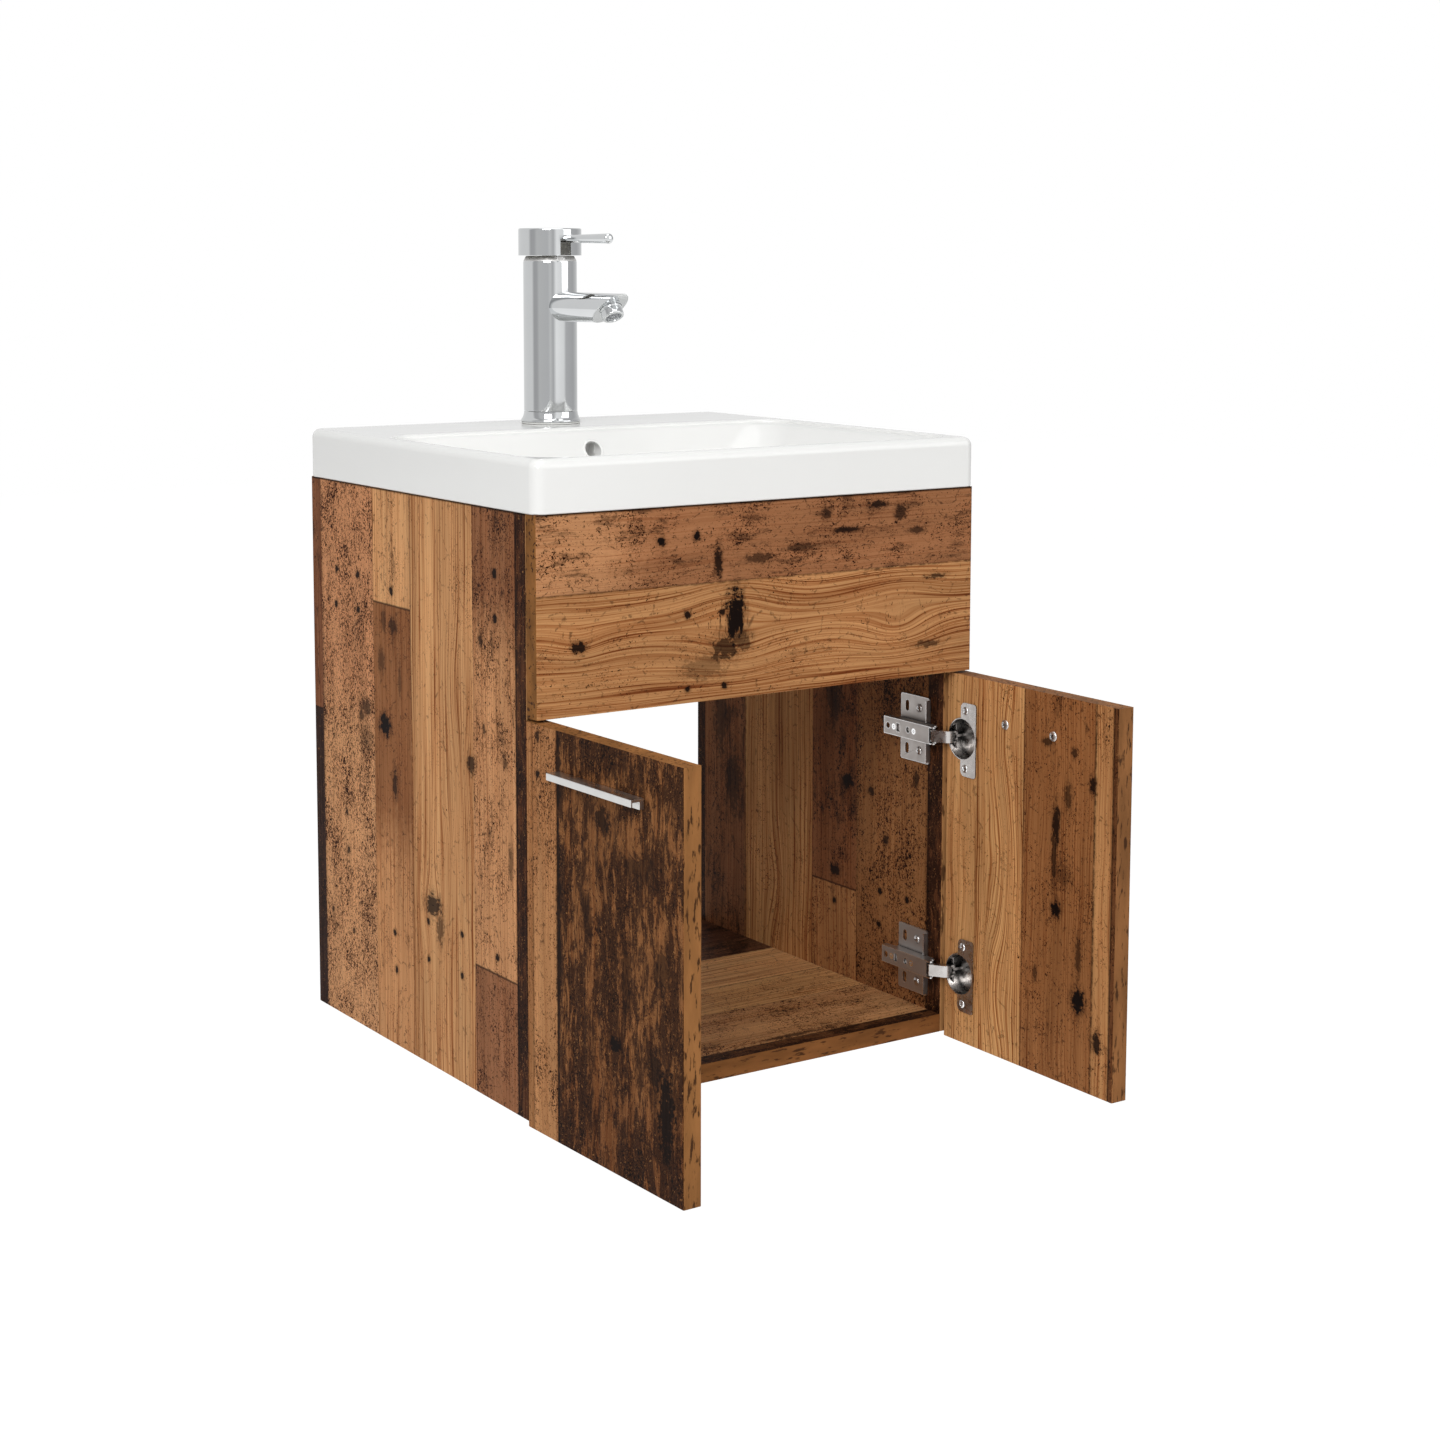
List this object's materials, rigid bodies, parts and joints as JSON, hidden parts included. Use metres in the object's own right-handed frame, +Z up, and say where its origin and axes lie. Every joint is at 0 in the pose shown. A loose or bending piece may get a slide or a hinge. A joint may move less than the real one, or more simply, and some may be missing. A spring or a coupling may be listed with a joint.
{
  "type": "vanity unit",
  "caption": "Wall-hung vanity unit with doors on concealed hinges, a ceramic basin, a single-lever tap and a push-button waste.",
  "frame": {"origin": "middle of the back face of the rear rail, on the wall", "axes": "+Y into the wall, -Y out of the wall to whoever uses it, +Z up, +X to the right of someone who faces the wall"},
  "size_m": [0.4365, 0.5706, 0.6702],
  "materials": {
    "side_wood": "plank-look laminate on board, satin",
    "panel_wood": "plank-look laminate on board, satin",
    "light_wood": "plank-look laminate on board, satin",
    "dark_wood": "plank-look laminate on board, satin",
    "ceramic": "glossy white glaze",
    "chrome": "polished",
    "nickel": "bright nickel plate",
    "zinc": "zinc plate",
    "aluminium": "satin anodised",
    "rubber": "matt",
    "grey_plastic": "moulded",
    "white_plastic": "moulded"
  },
  "bodies": {
    "cabinet": {"side_panel_left": "side_wood", "side_panel_right": "side_wood", "bottom_panel": "panel_wood", "front_apron": "panel_wood", "rear_rail": "panel_wood", "wall_bracket_left": "zinc", "wall_bracket_right": "zinc", "basin": "ceramic", "tap_gasket": "rubber", "tap_base_ring": "chrome", "tap_body": "chrome", "tap_aerator": "chrome", "tap_cartridge": "white_plastic", "tap_cartridge_nut": "nickel", "tap_stud": "zinc", "tap_clamp_rubber": "rubber", "tap_clamp_plate": "zinc", "tap_stud_nut": "nickel", "waste_gasket": "rubber", "waste_body": "chrome", "waste_lower_gasket": "rubber", "waste_nut": "grey_plastic", "hinge_left_lower_plate": "nickel", "hinge_left_lower_arm": "nickel", "hinge_left_upper_plate": "nickel", "hinge_left_upper_arm": "nickel", "hinge_right_lower_plate": "nickel", "hinge_right_lower_arm": "nickel", "hinge_right_upper_plate": "nickel", "hinge_right_upper_arm": "nickel"},
    "left_door": {"door_left": "dark_wood", "handle_left": "aluminium", "handle_screw_left_hinge_side": "nickel", "handle_screw_left_free_side": "nickel", "hinge_left_lower_cup": "nickel", "hinge_left_upper_cup": "nickel"},
    "left_outer_links": {"hinge_left_lower_outer_link": "nickel", "hinge_left_upper_outer_link": "nickel"},
    "left_inner_links": {"hinge_left_lower_inner_link": "nickel", "hinge_left_upper_inner_link": "nickel"},
    "right_door": {"door_right": "light_wood", "handle_right": "aluminium", "handle_screw_right_hinge_side": "nickel", "handle_screw_right_free_side": "nickel", "hinge_right_lower_cup": "nickel", "hinge_right_upper_cup": "nickel"},
    "right_outer_links": {"hinge_right_lower_outer_link": "nickel", "hinge_right_upper_outer_link": "nickel"},
    "right_inner_links": {"hinge_right_lower_inner_link": "nickel", "hinge_right_upper_inner_link": "nickel"},
    "tap_turn": {"tap_rotor": "white_plastic"},
    "tap_lift": {"tap_stem": "nickel", "tap_head": "chrome", "tap_lever": "chrome"},
    "waste_plug": {"waste_plug": "chrome"}
  },
  "joints": [
    {"name": "left_door_swing", "type": "hinge", "parent": "cabinet", "child": "left_door", "pos_m": [-0.19825, -0.37372, -0.25475], "axis": [0, 0, 1], "range_deg": [-6.5, 88.5]},
    {"name": "left_outer_link_turn", "type": "hinge", "parent": "cabinet", "child": "left_outer_links", "pos_m": [-0.1799, -0.3641, -0.25475], "axis": [0, 0, 1], "range_deg": [-10.59, 0.82]},
    {"name": "left_inner_link_turn", "type": "hinge", "parent": "cabinet", "child": "left_inner_links", "pos_m": [-0.1844, -0.3605, -0.25475], "axis": [0, 0, 1], "range_deg": [-7.12, 0.57]},
    {"name": "right_door_swing", "type": "hinge", "parent": "cabinet", "child": "right_door", "pos_m": [0.19825, -0.37372, -0.25475], "axis": [0, 0, 1], "range_deg": [-90, 5]},
    {"name": "right_outer_link_turn", "type": "hinge", "parent": "cabinet", "child": "right_outer_links", "pos_m": [0.1799, -0.3641, -0.25475], "axis": [0, 0, 1], "range_deg": [-0.65, 10.77]},
    {"name": "right_inner_link_turn", "type": "hinge", "parent": "cabinet", "child": "right_inner_links", "pos_m": [0.1844, -0.3605, -0.25475], "axis": [0, 0, 1], "range_deg": [-0.45, 7.24]},
    {"name": "tap_lever_turn", "type": "hinge", "parent": "cabinet", "child": "tap_turn", "pos_m": [0, -0.053, 0.2379], "axis": [0, 0, 1], "range_deg": [-45, 45]},
    {"name": "tap_lever_lift", "type": "hinge", "parent": "tap_turn", "child": "tap_lift", "pos_m": [0, -0.053, 0.2379], "axis": [-1, 0, 0], "range_deg": [0, 16]},
    {"name": "waste_plug_press", "type": "slide", "parent": "cabinet", "child": "waste_plug", "axis": [0, 0, -1], "range_m": [0, 0.007], "stiffness_N_per_m": 400, "springref_m": -0.006}
  ],
  "couplings": [
    {"joint": "left_outer_link_turn", "follows": "left_door_swing", "ratio": -0.11914},
    {"joint": "left_inner_link_turn", "follows": "left_door_swing", "ratio": -0.079864},
    {"joint": "right_outer_link_turn", "follows": "right_door_swing", "ratio": -0.11914},
    {"joint": "right_inner_link_turn", "follows": "right_door_swing", "ratio": -0.079864}
  ]
}
